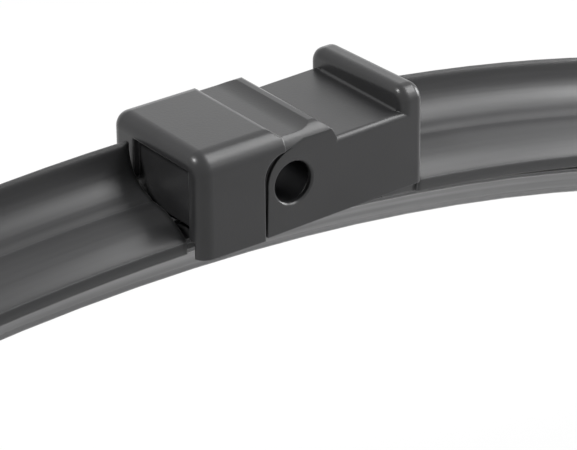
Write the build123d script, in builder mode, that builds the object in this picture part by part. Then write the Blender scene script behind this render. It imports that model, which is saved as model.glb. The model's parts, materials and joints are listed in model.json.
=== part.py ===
from build123d import *
from math import cos, degrees, radians, sin, sqrt
import os

os.makedirs("parts", exist_ok=True)

# Frame: the origin is on the arm pin's axis. X runs along the blade, Y along the pin,
# Z up. The rubber lip points down and the blade's arch is level where it passes the pin.

# Driving dimensions of the blade
RAIL_Z = -6.0         # middle plane of the spring rails under the pin
ARCH_R = 355.0        # radius of the rails' middle plane in the centre
ARCH_S = 90.0         # the centre's arch runs this far along to each side
OUTER_R = 720.0       # flatter radius from there to the tips
BLADE_S = 200.0       # half length along the arch, to the tip of the end cap
SPOILER_HALF = 8.6
CAP_LENGTH = 14.0
CAP_OVERLAP = 4.0     # length of spoiler inside each end cap
CAP_FROM = BLADE_S - CAP_LENGTH
SPOILER_S = CAP_FROM + CAP_OVERLAP
SPOILER_LIP = 1.4     # how far the spoiler's sides reach out past the rails
RIDGE_H = 10.95       # spoiler's ridge above the rails' middle plane
CREASE_H = 0.7        # edge over the near strip
STRIP_H = -1.2        # underside of the claws
CLAW = 2.0            # how far the claws reach in under the rails
RAIL_IN = 1.0         # inner edge of a rail
RAIL_OUT = SPOILER_HALF - SPOILER_LIP
RAIL_T = 0.8
RAIL_S = BLADE_S - 1.5             # ends of the rails, inside the caps
HEAD_HALF = 2.4       # rubber's head on top of the rails
HEAD_H = 1.05
FLANGE_HALF = 4.2     # its flange under the rails
FLANGE_H = -1.3
NECK_HALF = 0.5       # thin neck, about which the lip turns over
NECK_TOP = -3.1
NECK_FOOT = -3.9
KEEL_HALF = 2.4       # shoulders of the lip
KEEL_H = -4.8
LIP_H = -8.9          # edge of the wiping lip
LIP_HALF = 0.4
LEFT_S = -17.0        # inner ends of the spoilers, clear of the tilting adapter
RIGHT_S = 24.2

# Driving dimensions of the adapter, in its own frame, which is tilted about the pin
TILT = 3.1            # how far the adapter's right end is turned up from the blade
PIN_R = 3.2           # bore for the arm's pin
X_LEFT = -16.7        # mouth end of the adapter
X_RIGHT = 23.4        # far end, behind the end wall
HALF_FRONT = SPOILER_HALF + 2.4    # half width of the front block
INSET = 0.6                        # how far the sides behind it are set back
HALF_REAR = HALF_FRONT - INSET     # half width where the arm's plates lie
Z_FOOT = -7.4         # open underside
Z_TOP = 8.4           # top of the front block
Z_FLOOR = 4.75        # floor of the recess under the arm
R_OUTER = 2.4         # large roundings of the front block
R_NEAR = 3.2          # and the larger one along the near side, up to the ridge's end
X_STEP = -2.85        # where the front block steps down
STEP_R = 0.55         # rounding of the step's edge
GROOVE_Z = 7.35       # floor of the groove behind the step
GROOVE_TO = 0.9       # from here the floor curves up to the ridge
RIDGE_FAR_R = 2.7     # far rounding of the ridge and the groove
RIDGE_Z = 7.95        # cross ridge behind the groove
RIDGE_FROM = 4.0
RIDGE_TO = 4.9
RAMP_BULGE = 0.4      # how far the ridge's back stands out
RAMP_FOOT = 7.7       # it meets the recess floor here
REAR_RISE = 0.022     # the recess floor and the feet rise by this much a millimetre
WALL_X = 19.5         # inner face of the end wall
WALL_FAR = 8.03       # end wall's height at its far side
WALL_NEAR = 8.67      # and at its near side
WALL_WIDER = 1.1      # how far it reaches out past the block at the far side
WALL_R = 2.5          # its upper corners
WALL_FOOT = 0.4       # hollow rounding between the recess floor and the end wall
INSET_X = -5.45       # the side's inset starts here, in front of the bore
INSET_Z = 5.5         # and stops here, under the large rounding
INSET_R = 3.5
INSET_TOP = 6.4       # its upper edge beside the ridge
INSET_TO = 1.6        # from here on that edge is level
RELIEF = 1.4          # relief groove along the inset's edge: width at the rounding
RELIEF_LOW = 1.0      # width in front of the bore
RELIEF_FOOT = 0.75    # and at the foot
RELIEF_END = 1.9      # how far it runs on past the rounding, to a point
RELIEF_DEEP = 0.6     # depth
LEAD_IN = 0.25        # chamfer round the bore's ends
INNER_HALF = SPOILER_HALF - 0.25   # half width of the space inside
FOOT_HALF = SPOILER_HALF + 0.8     # and of the space between the feet
FOOT_TOP = -4.8       # the feet's thinner walls reach up to here
MOUTH_TOP = 5.95      # underside of the mouth's lintel
MOUTH_FAR = 5.1       # far jamb of the mouth
MOUTH_DEEP = 1.0      # depth of the mouth before its inner wall
WAY_TOP = -3.5        # opening for the rails in that wall
INNER_WALL = 1.2      # thickness of that wall and of the far end's wall
ROOF = 1.0            # recess floor's thickness over the pivot
SHELL = 1.7           # thickness of the front block's top
RIB_T = 1.2           # ribs under the recess floor
RIB_H = 3.0
RIM = 0.9             # rounding along the recess floor's near side
FAR_RIM = 0.25        # and along its far side
WALL_EDGE = 1.5       # roundings of the end wall, inside and behind
BACK_EDGE = 1.2

# End caps and the clips inside them
CAP_T = 0.9
CLIP_WIDE = 2.2
CLIP_TO = RAIL_S - 0.3
CLIP_FROM = CLIP_TO - CLIP_WIDE
CLIP_T = 0.75
RUBBER_S = CLIP_FROM - 0.5         # the rubber stops short of the clips

# Clearances
FIT = 0.05            # rubber and spoiler round the rails
RUN = 0.05            # pivot bush in the adapter's counterbores, on the radius
PIN_PLAY = 0.05       # arm's pin in the bush, more than in the adapter
PRESS = 0.01          # bush in the bracket's cheeks, on the radius
CAP_FIT = 0.1         # end cap round the spoiler
SEAT = 0.02           # bracket on the rails
SLOT = 0.2            # bracket and spoiler beside the rubber's head
SWING = 0.2           # bracket beside the adapter's inner walls
BRACKET_GAP = 0.1     # bracket and the right spoiler's end

# Pivot
BUSH_R = 3.6
COUNTERBORE = HALF_REAR - 1.0      # the adapter's counterbores reach out to here
BUSH_HALF = COUNTERBORE - 0.1
CHEEK_OUT = 7.6
CHEEK_T = 1.2
CHEEK_HALF = 8.0
BRACKET_LEFT = -11.0
BRACKET_RIGHT = RIGHT_S - BRACKET_GAP
BRACKET_HALF = INNER_HALF - SWING
BRACKET_H = 1.6       # top of the bracket's base over the rails' middle plane
CLAW_GAP = 9.0        # gaps between its claws

tilt = radians(TILT)
along = Vector(cos(tilt), 0, sin(tilt))
upward = Vector(-sin(tilt), 0, cos(tilt))
SIDE = Plane(origin=(0, 0, 0), x_dir=along, z_dir=(0, -1, 0))


def across(x):
    """Plane square to the adapter's length: local x is Y, local y is up."""
    return Plane(origin=along * x, x_dir=(0, 1, 0), z_dir=along)


def x_of(shape):
    """How far along the adapter a face or an edge lies."""
    return shape.center().dot(along)


def z_of(shape):
    """How high a face or an edge lies in the adapter's frame."""
    return shape.center().dot(upward)


def body_section(half, top, near_r, far_r, full=None):
    """Section of the adapter up to top, with its upper corners rounded, near and far.

    The roundings are those of a body as high as full, cut off at top.
    """
    full = full or top
    cut = full - top
    near = -half + near_r - sqrt(max(0, near_r**2 - (near_r - cut) ** 2))
    far = half - far_r + sqrt(max(0, far_r**2 - (far_r - cut) ** 2))
    Line((-half, Z_FOOT), (-half, full - near_r))
    RadiusArc((-half, full - near_r), (near, top), near_r)
    Line((near, top), (far, top))
    RadiusArc((far, top), (half, full - far_r), far_r)
    Polyline((half, full - far_r), (half, Z_FOOT), (-half, Z_FOOT))


def inset_arc():
    """Upper left rounding of the side's inset, which the relief groove follows."""
    foot = (INSET_X, INSET_Z - INSET_R)
    top = (INSET_X + INSET_R, INSET_Z)
    RadiusArc(foot, top, INSET_R)
    return foot, top


def arch_angle(s):
    """How far the arch has turned down at the distance s along it, in radians."""
    side = 1 if s >= 0 else -1
    return side * (min(abs(s), ARCH_S) / ARCH_R + max(0, abs(s) - ARCH_S) / OUTER_R)


def arch_point(s):
    """Point of the rails' middle line at s, as (x, z)."""
    inner = min(abs(s), ARCH_S) / ARCH_R
    outer = abs(arch_angle(s))
    x = ARCH_R * sin(inner) + OUTER_R * (sin(outer) - sin(inner))
    z = RAIL_Z - ARCH_R * (1 - cos(inner)) - OUTER_R * (cos(inner) - cos(outer))
    return (x if s >= 0 else -x), z


def section(s):
    """Plane square to the arch at s: local x is Y, local y the height over the rails."""
    x, z = arch_point(s)
    a = arch_angle(s)
    return Plane(origin=(x, 0, z), x_dir=(0, 1, 0), z_dir=(cos(a), 0, -sin(a)))


def stretch(first, last):
    """Arcs of the arch from first to last, drawn into the line being built."""
    for lo, hi in ((-BLADE_S, -ARCH_S), (-ARCH_S, ARCH_S), (ARCH_S, BLADE_S)):
        lo, hi = max(lo, first), min(hi, last)
        if hi > lo:
            ThreePointArc(arch_point(lo), arch_point((lo + hi) / 2), arch_point(hi))


def spoiler_skin():
    """Outer shape of the spoiler, from the near strip over the ridge to the far one."""
    w, h = SPOILER_HALF, RIDGE_H
    tip = 0.03 * h
    Line((-w, STRIP_H), (-w, CREASE_H))
    ThreePointArc((-w, CREASE_H), (-0.56 * w, 0.278 * h), (-0.035 * w, 0.353 * h))
    Line((-0.035 * w, 0.353 * h), (0.047 * w, 0.393 * h))
    ThreePointArc((0.047 * w, 0.393 * h), (0.485 * w, 0.6 * h), (0.627 * w, h - tip))
    ThreePointArc((0.627 * w, h - tip), (0.669 * w, h), (0.72 * w, h - tip))
    ThreePointArc((0.72 * w, h - tip), (0.8 * w, 0.48 * h), (w, CREASE_H))
    Line((w, CREASE_H), (w, STRIP_H))


# Adapter housing
with BuildPart() as adapter_housing:
    # end wall, a little higher at its near side
    with BuildSketch(across(WALL_X)) as wall:
        with BuildLine():
            Polyline(
                (-HALF_REAR, Z_FOOT),
                (-HALF_REAR, WALL_NEAR),
                (HALF_FRONT + WALL_WIDER, WALL_FAR),
                (HALF_FRONT + WALL_WIDER, Z_FOOT),
                close=True,
            )
        make_face()
        fillet(wall.vertices().sort_by(Axis.Y)[-2:], WALL_R)
    extrude(amount=X_RIGHT - WALL_X)
    inner_face = adapter_housing.faces().sort_by(x_of)[0]
    fillet(inner_face.edges().sort_by(z_of)[1:], WALL_EDGE)
    back_face = adapter_housing.faces().sort_by(x_of)[-1]
    fillet(back_face.edges().sort_by(z_of)[1:], BACK_EDGE)
    # rear body, whose top is the recess floor
    rear_from = INSET_X + 1
    floor_from = Z_FLOOR - REAR_RISE * (RAMP_FOOT - rear_from)
    floor_at_wall = Z_FLOOR + REAR_RISE * (WALL_X - RAMP_FOOT)
    with BuildSketch(across(rear_from)):
        with BuildLine():
            body_section(HALF_REAR, floor_from, RIM, FAR_RIM)
        make_face()
    extrude(amount=(WALL_X + X_RIGHT) / 2 - rear_from, dir=along + upward * REAR_RISE)
    # hollow rounding at the foot of the end wall
    with BuildSketch(SIDE):
        with BuildLine():
            TangentArc(
                (WALL_X - WALL_FOOT, floor_at_wall),
                (WALL_X, floor_at_wall + WALL_FOOT),
                tangent=(1, 0),
            )
            Polyline(
                (WALL_X, floor_at_wall + WALL_FOOT),
                (WALL_X + RIM, floor_at_wall + WALL_FOOT),
                (WALL_X + RIM, floor_at_wall - RIM),
                (WALL_X - WALL_FOOT, floor_at_wall - RIM),
                (WALL_X - WALL_FOOT, floor_at_wall),
            )
        make_face()
    extrude(amount=HALF_REAR - WALL_EDGE, both=True)
    # front block with its large roundings
    with BuildSketch(across(X_LEFT)):
        with BuildLine():
            body_section(HALF_FRONT, Z_TOP, R_NEAR, R_OUTER)
        make_face()
    extrude(amount=X_STEP + 2 * STEP_R - X_LEFT)
    mouth_face = adapter_housing.faces().sort_by(x_of)[0]
    fillet(mouth_face.edges().sort_by(z_of)[1:], R_OUTER - 0.1)
    # lower body under the groove, then the cross ridge, with roundings in common
    with BuildSketch(across(rear_from)):
        with BuildLine():
            body_section(HALF_FRONT, GROOVE_Z, R_NEAR, RIDGE_FAR_R, RIDGE_Z)
        make_face()
    extrude(amount=GROOVE_TO - rear_from)
    with BuildSketch(across(GROOVE_TO)):
        with BuildLine():
            body_section(HALF_FRONT, RIDGE_Z, R_NEAR, RIDGE_FAR_R)
        make_face()
    extrude(amount=RAMP_FOOT - GROOVE_TO)
    # step, groove and the ridge's slopes, over the whole width
    with BuildSketch(SIDE):
        crest = RIDGE_Z - 0.05
        with BuildLine():
            Line((X_STEP - STEP_R, Z_TOP + 1), (X_STEP - STEP_R, Z_TOP))
            TangentArc(
                (X_STEP - STEP_R, Z_TOP), (X_STEP + STEP_R / 2, Z_TOP - STEP_R), tangent=(1, 0)
            )
            Polyline(
                (X_STEP + STEP_R / 2, Z_TOP - STEP_R),
                (X_STEP + 2 * STEP_R, GROOVE_Z),
                (GROOVE_TO, GROOVE_Z),
            )
            TangentArc((GROOVE_TO, GROOVE_Z), (RIDGE_FROM, crest), tangent=(1, 0))
            Line((RIDGE_FROM, crest), (RIDGE_TO, crest))
            middle = (
                (RIDGE_TO + RAMP_FOOT) / 2 + RAMP_BULGE * 0.75,
                (crest + Z_FLOOR) / 2 + RAMP_BULGE * 0.65,
            )
            ThreePointArc((RIDGE_TO, crest), middle, (RAMP_FOOT, Z_FLOOR))
            Polyline(
                (RAMP_FOOT, Z_FLOOR),
                (RAMP_FOOT + 1, Z_FLOOR + 1),
                (RAMP_FOOT + 1, Z_TOP + 1),
                (X_STEP - STEP_R, Z_TOP + 1),
            )
        make_face()
    extrude(amount=HALF_FRONT + 1, both=True, mode=Mode.SUBTRACT)
    # rising line of the feet behind the front block
    with BuildSketch(SIDE):
        with BuildLine():
            Polyline(
                (rear_from, Z_FOOT),
                (X_RIGHT + 1, Z_FOOT + REAR_RISE * (X_RIGHT + 1 - rear_from)),
                (X_RIGHT + 1, Z_FOOT - 1),
                (rear_from, Z_FOOT - 1),
                close=True,
            )
        make_face()
    extrude(amount=HALF_FRONT + WALL_WIDER + 1, both=True, mode=Mode.SUBTRACT)
    # inset sides, where the arm's plates lie, with a relief groove along their front edge
    bend = INSET_R - RELIEF
    for side in (-1, 1):
        with BuildSketch(SIDE.offset(side * (HALF_REAR + 1))):
            with BuildLine():
                foot, top = inset_arc()
                Polyline(
                    top,
                    (INSET_TO, INSET_TOP),
                    (WALL_X, INSET_TOP),
                    (WALL_X, Z_FOOT - 1),
                    (INSET_X, Z_FOOT - 1),
                    foot,
                )
            make_face()
        extrude(amount=1, both=True, mode=Mode.SUBTRACT)
        with BuildSketch(SIDE.offset(side * (HALF_REAR + 1))):
            with BuildLine():
                foot, top = inset_arc()
                end = (top[0] + RELIEF_END, top[1])
                low = (INSET_X + RELIEF_LOW, 0)
                middle = (top[0] - bend * cos(radians(45)), foot[1] + bend * sin(radians(45)))
                Line(top, end)
                ThreePointArc(end, middle, low)
                Polyline(low, (INSET_X + RELIEF_FOOT, Z_FOOT), (INSET_X, Z_FOOT), foot)
            make_face()
        extrude(amount=1 + RELIEF_DEEP, both=True, mode=Mode.SUBTRACT)
    # mouth, whose far jamb is set back under the ridge of the spoiler
    with BuildSketch(across(X_LEFT - 1)):
        with BuildLine():
            Polyline(
                (-INNER_HALF, Z_FOOT - 1),
                (-INNER_HALF, MOUTH_TOP),
                (MOUTH_FAR, MOUTH_TOP),
                (MOUTH_FAR, 0),
                (INNER_HALF, MOUTH_FAR - INNER_HALF),
                (INNER_HALF, Z_FOOT - 1),
                close=True,
            )
        make_face()
    extrude(amount=MOUTH_DEEP + 1, mode=Mode.SUBTRACT)
    with BuildSketch(across(X_LEFT)):
        with Locations((0, Z_FOOT)):
            Rectangle(2 * (RAIL_OUT + 3 * SWING), 2 * (WAY_TOP - Z_FOOT))
    extrude(amount=MOUTH_DEEP + INNER_WALL + 1, mode=Mode.SUBTRACT)
    # space inside, higher in the front block, with ribs under the recess floor
    with BuildSketch(SIDE):
        hollow_from = X_LEFT + MOUTH_DEEP + INNER_WALL
        hollow_to = X_RIGHT - INNER_WALL
        with BuildLine():
            Polyline(
                (hollow_from, Z_FOOT - 1),
                (hollow_from, Z_TOP - SHELL),
                (X_STEP - SHELL, Z_TOP - SHELL),
                (X_STEP - SHELL, Z_FLOOR - ROOF),
                (hollow_to, Z_FLOOR - ROOF),
                (hollow_to, Z_FOOT - 1),
                close=True,
            )
        make_face()
        for share in (1 / 3, 2 / 3):
            with Locations((RAMP_FOOT + share * (WALL_X - RAMP_FOOT), Z_FLOOR)):
                Rectangle(RIB_T, 2 * RIB_H, mode=Mode.SUBTRACT)
    extrude(amount=INNER_HALF, both=True, mode=Mode.SUBTRACT)
    # thinner walls between the feet, open at both ends
    with BuildSketch(across(X_LEFT - 1)):
        with Locations((0, Z_FOOT)):
            Rectangle(2 * FOOT_HALF, 2 * (FOOT_TOP - Z_FOOT))
    extrude(amount=X_RIGHT - X_LEFT + 2, mode=Mode.SUBTRACT)
    # way out for the rails and the bracket at the far end
    with BuildSketch(across(X_RIGHT - 2 * INNER_WALL)):
        with Locations((0, Z_FOOT)):
            Rectangle(2 * INNER_HALF, 4 * (FOOT_TOP - Z_FOOT))
    extrude(amount=3 * INNER_WALL, mode=Mode.SUBTRACT)
    # bore for the arm's pin and counterbores for the bush
    with BuildSketch(SIDE):
        Circle(PIN_R)
    extrude(amount=HALF_FRONT + 1, both=True, mode=Mode.SUBTRACT)
    with BuildSketch(SIDE):
        Circle(BUSH_R + RUN)
    extrude(amount=COUNTERBORE, both=True, mode=Mode.SUBTRACT)
    ends = adapter_housing.edges().filter_by(GeomType.CIRCLE).filter_by(
        lambda e: abs(e.radius - PIN_R) < 0.01 and abs(abs(e.center().Y) - HALF_REAR) < 0.01
    )
    chamfer(ends, LEAD_IN)

adapter_housing.part.label = "adapter_housing"
export_step(adapter_housing.part, "parts/adapter_housing.step")

# Pivot bush, a hollow rivet that joins the adapter to the blade's bracket
with BuildPart() as pivot_bush:
    with BuildSketch(Plane.XZ):
        Circle(BUSH_R)
        Circle(PIN_R + PIN_PLAY, mode=Mode.SUBTRACT)
    extrude(amount=BUSH_HALF, both=True)

pivot_bush.part.label = "pivot_bush"
export_step(pivot_bush.part, "parts/pivot_bush.step")

# Bracket: a base crimped round the rails with two cheeks that carry the bush
with BuildPart() as bracket:
    with BuildSketch(section(BRACKET_LEFT)):
        rail_side = RAIL_OUT + SEAT
        rail_top = RAIL_T / 2 + SEAT
        claw_in = RAIL_OUT - CLAW + SLOT
        with BuildLine():
            Polyline(
                (0, HEAD_H + FIT),
                (HEAD_HALF + SLOT, HEAD_H + FIT),
                (HEAD_HALF + SLOT, rail_top),
                (rail_side, rail_top),
                (rail_side, -rail_top),
                (claw_in, -rail_top),
                (claw_in, STRIP_H),
                (BRACKET_HALF, STRIP_H),
                (BRACKET_HALF, BRACKET_H),
                (0, BRACKET_H),
                close=True,
            )
        make_face()
        mirror(about=Plane.YZ)
    with BuildLine(Plane.XZ):
        stretch(BRACKET_LEFT, BRACKET_RIGHT)
    sweep()
    # cheeks, narrowing to the bush
    base = RAIL_Z + BRACKET_H
    with BuildSketch(Plane.XZ):
        with BuildLine():
            Polyline(
                (0, base - RAIL_T / 2),
                (CHEEK_HALF, base - RAIL_T / 2),
                (CHEEK_HALF * 0.61, BUSH_R * 0.28),
                (CHEEK_HALF * 0.33, BUSH_R * 0.92),
                (0, BUSH_R * 0.92),
                close=True,
            )
        make_face()
        mirror(about=Plane.YZ)
        Circle(BUSH_R + PRESS, mode=Mode.SUBTRACT)
    extrude(amount=CHEEK_OUT, both=True)
    with BuildSketch(Plane.XZ):
        with Locations((0, base + BUSH_R * 1.4)):
            Rectangle(4 * CHEEK_HALF, BUSH_R * 2.8)
    extrude(amount=CHEEK_OUT - CHEEK_T, both=True, mode=Mode.SUBTRACT)
    # gaps between the claws, open to the sides and below
    for side in (-1, 1):
        with BuildSketch(Plane.XZ.offset(side * (BRACKET_HALF + 1))):
            for s in (0, 1.5 * CLAW_GAP):
                x, z = arch_point(s)
                with Locations((x, z - BRACKET_H + rail_top)):
                    Rectangle(CLAW_GAP, 2 * BRACKET_H, rotation=-degrees(arch_angle(s)))
        extrude(amount=BRACKET_HALF + 1 - claw_in + SLOT, both=True, mode=Mode.SUBTRACT)

bracket.part.label = "bracket"
export_step(bracket.part, "parts/bracket.step")

# Two spring rails side by side, with the rubber's head between them
rails = {}
for name, side in (("rail_near", -1), ("rail_far", 1)):
    with BuildPart() as rail:
        with BuildSketch(section(-RAIL_S)):
            with Locations((side * (RAIL_IN + RAIL_OUT) / 2, 0)):
                Rectangle(RAIL_OUT - RAIL_IN, RAIL_T)
        with BuildLine(Plane.XZ):
            stretch(-RAIL_S, RAIL_S)
        sweep()
    rails[name] = rail.part
    rail.part.label = name
    export_step(rail.part, "parts/" + name + ".step")

# Wiper rubber: head over the rails, flange under them, neck and wiping lip
with BuildPart() as wiper_rubber:
    with BuildSketch(section(-RUBBER_S)):
        under = RAIL_T / 2 + FIT
        with BuildLine():
            Polyline(
                (0, HEAD_H),
                (HEAD_HALF, HEAD_H),
                (HEAD_HALF, under),
                (RAIL_IN - FIT, under),
                (RAIL_IN - FIT, -under),
                (FLANGE_HALF, -under),
                (FLANGE_HALF, FLANGE_H),
                (3 * NECK_HALF, NECK_TOP + NECK_HALF / 2),
                (NECK_HALF, NECK_TOP),
                (NECK_HALF, NECK_FOOT),
                (KEEL_HALF * 0.92, (NECK_FOOT + KEEL_H) / 2),
                (KEEL_HALF, KEEL_H),
            )
            ThreePointArc(
                (KEEL_HALF, KEEL_H),
                (KEEL_HALF * 0.52, KEEL_H * 0.56 + LIP_H * 0.44),
                (LIP_HALF * 1.4, LIP_H * 0.89),
            )
            Polyline((LIP_HALF * 1.4, LIP_H * 0.89), (LIP_HALF, LIP_H), (0, LIP_H), (0, HEAD_H))
        make_face()
        mirror(about=Plane.YZ)
    with BuildLine(Plane.XZ):
        stretch(-RUBBER_S, RUBBER_S)
    sweep()

wiper_rubber.part.label = "wiper_rubber"
export_step(wiper_rubber.part, "parts/wiper_rubber.step")

# Spoilers, clawed round both rails
for name, first, last in (
    ("spoiler_left", -SPOILER_S, LEFT_S),
    ("spoiler_right", RIGHT_S, SPOILER_S),
):
    with BuildPart() as spoiler:
        with BuildSketch(section(first)):
            side = RAIL_OUT + FIT
            top = RAIL_T / 2 + FIT
            claw = RAIL_OUT - CLAW
            slot = HEAD_HALF + SLOT
            with BuildLine():
                spoiler_skin()
                Polyline(
                    (SPOILER_HALF, STRIP_H),
                    (claw, STRIP_H),
                    (claw, -top),
                    (side, -top),
                    (side, top),
                    (slot, top),
                    (slot, HEAD_H + FIT),
                    (-slot, HEAD_H + FIT),
                    (-slot, top),
                    (-side, top),
                    (-side, -top),
                    (-claw, -top),
                    (-claw, STRIP_H),
                    (-SPOILER_HALF, STRIP_H),
                )
            make_face()
        with BuildLine(Plane.XZ):
            stretch(first, last)
        sweep()
    spoiler.part.label = name
    export_step(spoiler.part, "parts/" + name + ".step")

# Steel clips that hold the rails together and stop the rubber from sliding out
for name, first, last in (
    ("end_clip_left", -CLIP_TO, -CLIP_FROM),
    ("end_clip_right", CLIP_FROM, CLIP_TO),
):
    with BuildPart() as clip:
        with BuildSketch(section(first)):
            wide = 2 * (RAIL_OUT + SEAT)
            high = RAIL_T + 2 * SEAT
            Rectangle(wide + 2 * CLIP_T, high + 2 * CLIP_T)
            Rectangle(wide, high, mode=Mode.SUBTRACT)
            Rectangle(2 * (RAIL_IN - FIT), high)
        with BuildLine(Plane.XZ):
            stretch(first, last)
        sweep()
    clip.part.label = name
    export_step(clip.part, "parts/" + name + ".step")

# End caps: closed shells over the spoilers' ends, slotted for the rubber
for name, side in (("end_cap_left", -1), ("end_cap_right", 1)):
    first = CAP_FROM if side > 0 else -BLADE_S
    with BuildPart() as cap:
        with BuildSketch(section(first)):
            with BuildLine():
                spoiler_skin()
                Line((-SPOILER_HALF, STRIP_H), (SPOILER_HALF, STRIP_H))
            make_face()
            offset(amount=CAP_T + CAP_FIT, kind=Kind.ARC)
        with BuildLine(Plane.XZ):
            stretch(first, first + CAP_LENGTH)
        sweep()
        hollow = first if side > 0 else first + CAP_T
        with BuildSketch(section(hollow)):
            with BuildLine():
                spoiler_skin()
                Line((-SPOILER_HALF, STRIP_H), (SPOILER_HALF, STRIP_H))
            make_face()
            offset(amount=CAP_FIT, kind=Kind.ARC)
            with Locations((0, STRIP_H - 1)):
                Rectangle(2 * (RAIL_OUT - CLAW), 3.0)
        with BuildLine(Plane.XZ):
            stretch(hollow, hollow + CAP_LENGTH - CAP_T)
        sweep(mode=Mode.SUBTRACT)
    cap.part.label = name
    export_step(cap.part, "parts/" + name + ".step")
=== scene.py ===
import json

import bpy
from mathutils import Matrix, Vector


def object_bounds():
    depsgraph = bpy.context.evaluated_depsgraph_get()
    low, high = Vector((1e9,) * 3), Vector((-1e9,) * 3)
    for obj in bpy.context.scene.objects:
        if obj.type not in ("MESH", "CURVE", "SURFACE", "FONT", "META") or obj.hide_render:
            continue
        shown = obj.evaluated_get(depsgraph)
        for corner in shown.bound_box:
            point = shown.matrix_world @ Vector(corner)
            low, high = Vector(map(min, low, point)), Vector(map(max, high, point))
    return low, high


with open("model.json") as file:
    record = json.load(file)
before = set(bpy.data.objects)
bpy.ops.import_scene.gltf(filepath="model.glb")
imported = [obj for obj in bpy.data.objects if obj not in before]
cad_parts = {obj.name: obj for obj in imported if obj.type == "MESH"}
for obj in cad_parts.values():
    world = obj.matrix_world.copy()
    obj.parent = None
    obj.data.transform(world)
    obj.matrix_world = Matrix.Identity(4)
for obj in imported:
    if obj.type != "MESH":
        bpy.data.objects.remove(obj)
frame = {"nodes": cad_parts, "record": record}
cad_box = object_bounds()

WHITE = (1, 1, 1, 1)

# Sizes of the blade that the drawn lines follow, in metres
ARCH_RADIUS = 0.355        # of the blade's arch at its rails
RAIL_DEPTH = 0.006         # rails under the pin
ARCH_DEPTH = ARCH_RADIUS + RAIL_DEPTH

# How edges are lightened: worn on the plastics and steels, painted highlights on the
# spoilers and rubber
WORN_AND_HIGHLIT_EDGE_RADIUS = 0.0004     # reach of the lighter edges: wear, and painted highlights on spoilers and rubber
SHARP_TURN = 0.80          # cosine of the turn at which an edge is fully lightened
SLIGHT_TURN = 0.98         # and at which it keeps its base colour
RAMP_FROM = 0.25           # part of a noise's range that a ramp spreads out
RAMP_TO = 0.75

# Materials


def new_material(name):
    """An empty node material with one Principled shader, and its nodes, links and shader."""
    mat = bpy.data.materials.new(name)
    mat.use_nodes = True
    nodes, links = mat.node_tree.nodes, mat.node_tree.links
    nodes.clear()
    out = nodes.new("ShaderNodeOutputMaterial")
    shader = nodes.new("ShaderNodeBsdfPrincipled")
    links.new(shader.outputs[0], out.inputs[0])
    return mat, nodes, links, shader


def round_the_arch(nodes, links, place):
    """The place with its third axis changed to the distance from the arch's middle.

    What is stretched along X there runs along the blade.
    """
    parts = nodes.new("ShaderNodeSeparateXYZ")
    links.new(place, parts.inputs[0])
    flat = nodes.new("ShaderNodeMapping")
    flat.inputs["Location"].default_value = (0, 0, ARCH_DEPTH)
    flat.inputs["Scale"].default_value = (1, 0, 1)
    links.new(place, flat.inputs[0])
    radius = nodes.new("ShaderNodeVectorMath")
    radius.operation = "LENGTH"
    links.new(flat.outputs[0], radius.inputs[0])
    joined = nodes.new("ShaderNodeCombineXYZ")
    links.new(parts.outputs[0], joined.inputs[0])
    links.new(parts.outputs[1], joined.inputs[1])
    links.new(radius.outputs["Value"], joined.inputs[2])
    return joined.outputs[0]


def noise(nodes, links, scale, detail, stretch, arched=False):
    """A noise texture in the object's own metres, stretched along the axes or the arch."""
    coord = nodes.new("ShaderNodeTexCoord")
    place = coord.outputs["Object"]
    if arched:
        place = round_the_arch(nodes, links, place)
    mapping = nodes.new("ShaderNodeMapping")
    mapping.inputs["Scale"].default_value = stretch
    tex = nodes.new("ShaderNodeTexNoise")
    tex.inputs["Scale"].default_value = scale
    tex.inputs["Detail"].default_value = detail
    links.new(place, mapping.inputs[0])
    links.new(mapping.outputs[0], tex.inputs["Vector"])
    return tex.outputs["Fac"]


def ramp(nodes, links, fac, low, high):
    """Turns a factor into a colour or a number between low and high."""
    node = nodes.new("ShaderNodeValToRGB")
    node.color_ramp.interpolation = "EASE"
    ends = ((low, RAMP_FROM), (high, RAMP_TO))
    for element, (value, place) in zip(node.color_ramp.elements, ends):
        element.position = place
        element.color = (*value, 1) if isinstance(value, tuple) else (value, value, value, 1)
    links.new(fac, node.inputs[0])
    return node.outputs[0]


def bump(nodes, links, fac, height, below=None):
    """The normal of a bump of that height in metres, on top of another normal."""
    node = nodes.new("ShaderNodeBump")
    node.inputs["Strength"].default_value = 1.0
    node.inputs["Distance"].default_value = height
    links.new(fac, node.inputs["Height"])
    if below:
        links.new(below, node.inputs["Normal"])
    return node.outputs[0]


def rounded(nodes, radius, samples):
    """The normal as if every edge were rounded with that radius."""
    bevel = nodes.new("ShaderNodeBevel")
    bevel.samples = samples
    bevel.inputs["Radius"].default_value = radius
    return bevel.outputs[0]


def lighten_worn_and_highlit_edges(nodes, links, base, edge_wear_and_highlight_colour):
    """The base colour, lighter at edges where the surface turns sharply: rubbed wear on the
    plastics and steels, a painted highlight on the spoilers and rubber.
    """
    geometry = nodes.new("ShaderNodeNewGeometry")
    turn = nodes.new("ShaderNodeVectorMath")
    turn.operation = "DOT_PRODUCT"
    links.new(rounded(nodes, WORN_AND_HIGHLIT_EDGE_RADIUS, 4), turn.inputs[0])
    links.new(geometry.outputs["Normal"], turn.inputs[1])
    worn_and_highlit_share = nodes.new("ShaderNodeMapRange")
    worn_and_highlit_share.inputs["From Min"].default_value = SLIGHT_TURN
    worn_and_highlit_share.inputs["From Max"].default_value = SHARP_TURN
    links.new(turn.outputs["Value"], worn_and_highlit_share.inputs["Value"])
    mix = nodes.new("ShaderNodeMix")
    mix.data_type = "RGBA"
    links.new(worn_and_highlit_share.outputs[0], mix.inputs["Factor"])
    links.new(base, mix.inputs[6])
    mix.inputs[7].default_value = (*edge_wear_and_highlight_colour, 1)
    return mix.outputs[2]


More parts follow.
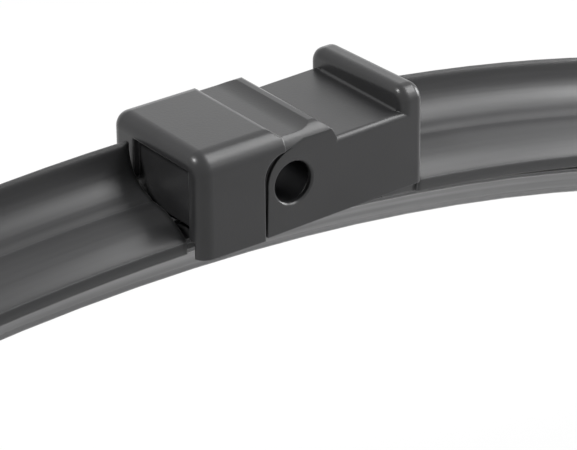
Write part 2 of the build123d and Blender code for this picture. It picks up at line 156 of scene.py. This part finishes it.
def surface(name, low, high, rough, grain, height, stretch=(1, 1, 1), edge_wear_and_highlight_colour=None,
            specular=0.5, metallic=0.0, soft=None, streak=None):
    """A moulded, drawn or coated surface: mottled colour, uneven gloss, fine grain.

    Its edges look rounded with the radius soft, and streak gives the fineness and height
    of drawn lines along the blade.
    """
    mat, nodes, links, shader = new_material(name)
    if streak:
        fineness, depth = streak
        mottle = noise(nodes, links, fineness / 3, 3.0, (0.02, 1, 1), arched=True)
    else:
        mottle = noise(nodes, links, 60.0, 2.0, stretch)
    colour = ramp(nodes, links, mottle, low, high)
    # Lighter edges: wear on the plastics and steels, a painted highlight on the spoilers and
    # rubber.
    if edge_wear_and_highlight_colour:
        colour = lighten_worn_and_highlit_edges(nodes, links, colour, edge_wear_and_highlight_colour)
    links.new(colour, shader.inputs["Base Color"])
    uneven = noise(nodes, links, 140.0, 4.0, stretch)
    links.new(ramp(nodes, links, uneven, *rough), shader.inputs["Roughness"])
    normal = rounded(nodes, soft, 8) if soft else None
    normal = bump(nodes, links, noise(nodes, links, grain, 4.0, stretch), height, normal)
    if streak:
        lines = noise(nodes, links, fineness, 2.0, (0.01, 1, 1), arched=True)
        normal = bump(nodes, links, lines, depth, normal)
    links.new(normal, shader.inputs["Normal"])
    shader.inputs["Specular IOR Level"].default_value = specular
    shader.inputs["Metallic"].default_value = metallic
    return mat


MATERIALS = {
    "adapter_plastic": surface(
        "adapter_plastic", (0.026, 0.026, 0.027), (0.032, 0.032, 0.033), (0.28, 0.34),
        2600.0, 0.000012, edge_wear_and_highlight_colour=(0.045, 0.045, 0.047), specular=0.35, soft=0.0003),
    "cap_plastic": surface(
        "cap_plastic", (0.024, 0.024, 0.025), (0.031, 0.031, 0.032), (0.36, 0.46),
        2200.0, 0.00002, edge_wear_and_highlight_colour=(0.045, 0.045, 0.047)),
    # The spoiler's light edge colour is a painted highlight along its crease and lower edge.
    "spoiler_elastomer": surface(
        "spoiler_elastomer", (0.018, 0.018, 0.019), (0.036, 0.036, 0.037), (0.34, 0.44),
        900.0, 0.000015, stretch=(0.1, 1, 1), edge_wear_and_highlight_colour=(0.16, 0.16, 0.162), specular=0.35,
        soft=0.0015, streak=(900.0, 0.00003)),
    # The rubber's pale edge colour is a painted highlight along the top edge of its keel.
    "rubber": surface(
        "rubber", (0.15, 0.15, 0.152), (0.27, 0.27, 0.272), (0.55, 0.7),
        2400.0, 0.00002, stretch=(0.15, 1, 1), edge_wear_and_highlight_colour=(0.6, 0.6, 0.6),
        streak=(1400.0, 0.00004)),
    "spring_steel": surface(
        "spring_steel", (0.030, 0.030, 0.031), (0.045, 0.045, 0.046), (0.35, 0.5),
        1600.0, 0.00001, stretch=(0.05, 1, 1), edge_wear_and_highlight_colour=(0.2, 0.2, 0.2)),
    "coated_steel": surface(
        "coated_steel", (0.025, 0.025, 0.026), (0.040, 0.040, 0.041), (0.3, 0.45),
        2000.0, 0.00001, edge_wear_and_highlight_colour=(0.15, 0.15, 0.15)),
    "bush_steel": surface(
        "bush_steel", (0.10, 0.10, 0.105), (0.16, 0.16, 0.165), (0.3, 0.42),
        1800.0, 0.000008, stretch=(1, 0.05, 1), metallic=1.0),
}

slots = {part["node"]: part["material_slot"] for part in frame["record"]["subparts"]}
for name, node in frame["nodes"].items():
    node.data.materials.clear()
    node.data.materials.append(MATERIALS[slots[name]])

# Floor and world

TILT_ROOM = 0.029          # the blade's tips go down nearly this far when it tilts
FLOOR_Z = cad_box[0][2] - TILT_ROOM
FLOOR_HALF = 3.0
FLOOR_COLOUR = (0.85, 0.85, 0.85, 1)
FLOOR_WHITE = 0.92         # share of plain white where it is seen, the rest keeps shadows
WORLD_LIGHT = 0.02         # strength of the world's own light on matt surfaces


def seen_share(nodes, links, share):
    """Share for camera, glossy and transmission rays, and 0 for all others."""
    path = nodes.new("ShaderNodeLightPath")
    value = path.outputs["Is Camera Ray"]
    for other in ("Is Glossy Ray", "Is Transmission Ray"):
        larger = nodes.new("ShaderNodeMath")
        larger.operation = "MAXIMUM"
        links.new(value, larger.inputs[0])
        links.new(path.outputs[other], larger.inputs[1])
        value = larger.outputs[0]
    scaled = nodes.new("ShaderNodeMath")
    scaled.operation = "MULTIPLY"
    scaled.inputs[1].default_value = share
    links.new(value, scaled.inputs[0])
    return scaled.outputs[0]


def white_when_seen(nodes, links, plain, white, share):
    """Mixes white over the plain shader where it is seen, directly or in a reflection."""
    mix = nodes.new("ShaderNodeMixShader")
    links.new(seen_share(nodes, links, share), mix.inputs[0])
    links.new(plain, mix.inputs[1])
    links.new(white, mix.inputs[2])
    return mix.outputs[0]


def floor_material():
    """A pale matt floor that is nearly white to the camera."""
    mat, nodes, links, shader = new_material("floor")
    shader.inputs["Base Color"].default_value = FLOOR_COLOUR
    shader.inputs["Roughness"].default_value = 0.9
    shader.inputs["Specular IOR Level"].default_value = 0.1
    white = nodes.new("ShaderNodeEmission")
    white.inputs["Color"].default_value = WHITE
    white.inputs["Strength"].default_value = 1.0
    out = next(n for n in nodes if n.type == "OUTPUT_MATERIAL")
    seen = white_when_seen(nodes, links, shader.outputs[0], white.outputs[0], FLOOR_WHITE)
    links.new(seen, out.inputs[0])
    return mat


def lay_floor():
    """One large square under the blade."""
    mesh = bpy.data.meshes.new("floor")
    corners = [
        (x * FLOOR_HALF, y * FLOOR_HALF, FLOOR_Z)
        for x, y in ((-1, -1), (1, -1), (1, 1), (-1, 1))
    ]
    mesh.from_pydata(corners, [], [(0, 1, 2, 3)])
    mesh.materials.append(floor_material())
    floor = bpy.data.objects.new("floor", mesh)
    bpy.context.scene.collection.objects.link(floor)
    return floor


def light_world():
    """A world that is white where it is seen and gives little light of its own."""
    world = bpy.data.worlds.new("world")
    bpy.context.scene.world = world
    world.use_nodes = True
    nodes, links = world.node_tree.nodes, world.node_tree.links
    nodes.clear()
    out = nodes.new("ShaderNodeOutputWorld")
    backgrounds = []
    for strength in (WORLD_LIGHT, 1.0):
        background = nodes.new("ShaderNodeBackground")
        background.inputs["Color"].default_value = WHITE
        background.inputs["Strength"].default_value = strength
        backgrounds.append(background.outputs[0])
    links.new(white_when_seen(nodes, links, *backgrounds, 1.0), out.inputs[0])


floor = lay_floor()
light_world()

# Lamps

ADAPTER = (0, 0, 0)        # the lamps face the adapter, whose bore is the origin
KEY_SIZE = 0.28
SPOT_SIZE = 0.15


def softbox(name, place, target, width, height, power):
    """A rectangular area lamp at place that faces target."""
    data = bpy.data.lights.new(name, "AREA")
    data.shape = "RECTANGLE"
    data.size = width
    data.size_y = height
    data.energy = power
    lamp = bpy.data.objects.new(name, data)
    way = (Vector(target) - Vector(place)).normalized()
    turn = way.to_track_quat("-Z", "Y").to_matrix().to_4x4()
    lamp.matrix_world = Matrix.Translation(place) @ turn
    bpy.context.scene.collection.objects.link(lamp)


# The lamp behind lights the flat tops at a low angle, the three keys draw the bright lines
# along the near roundings, the one at the right the bands on the spoilers, and the spot
# the white mark on the front corner.
softbox("behind", (0.55, 1.05, 0.30), (0, 0, 0.03), 0.8, 0.5, 1.09)
softbox("key_high", (0.44, -0.06, 0.68), ADAPTER, KEY_SIZE, KEY_SIZE, 2.35)
softbox("key", (0.42, -0.32, 0.60), ADAPTER, KEY_SIZE, KEY_SIZE, 2.74)
softbox("key_low", (0.42, -0.56, 0.40), ADAPTER, KEY_SIZE, KEY_SIZE, 0.6)
softbox("right", (0.95, -0.15, 0.30), ADAPTER, 0.5, 0.4, 10.21)
softbox("spot", (-0.58, 0.22, 0.63), ADAPTER, SPOT_SIZE, SPOT_SIZE, 4.85)

# Camera, its place, turn and lens fitted to the photograph

CAMERA_AT = (-0.273469, -0.36594, 0.203454)
PICTURE_RIGHT = Vector((0.8024573, -0.5957583, 0.033679))
PICTURE_UP = Vector((0.2285175, 0.3589598, 0.9049462))
SIGHT = Vector((0.5512186, 0.7184845, -0.4241911))
LENS_MM = 217.5
SENSOR_MM = 36.0

camera_data = bpy.data.cameras.new("camera")
camera_data.sensor_fit = "HORIZONTAL"
camera_data.sensor_width = SENSOR_MM
camera_data.lens = LENS_MM
camera_data.clip_start = 0.01
camera_data.clip_end = 20.0
camera = bpy.data.objects.new("camera", camera_data)
camera_turn = Matrix((PICTURE_RIGHT, PICTURE_UP, -SIGHT)).transposed().to_4x4()
camera.matrix_world = Matrix.Translation(CAMERA_AT) @ camera_turn
bpy.context.scene.collection.objects.link(camera)
bpy.context.scene.camera = camera

bpy.context.scene.view_settings.view_transform = "Standard"
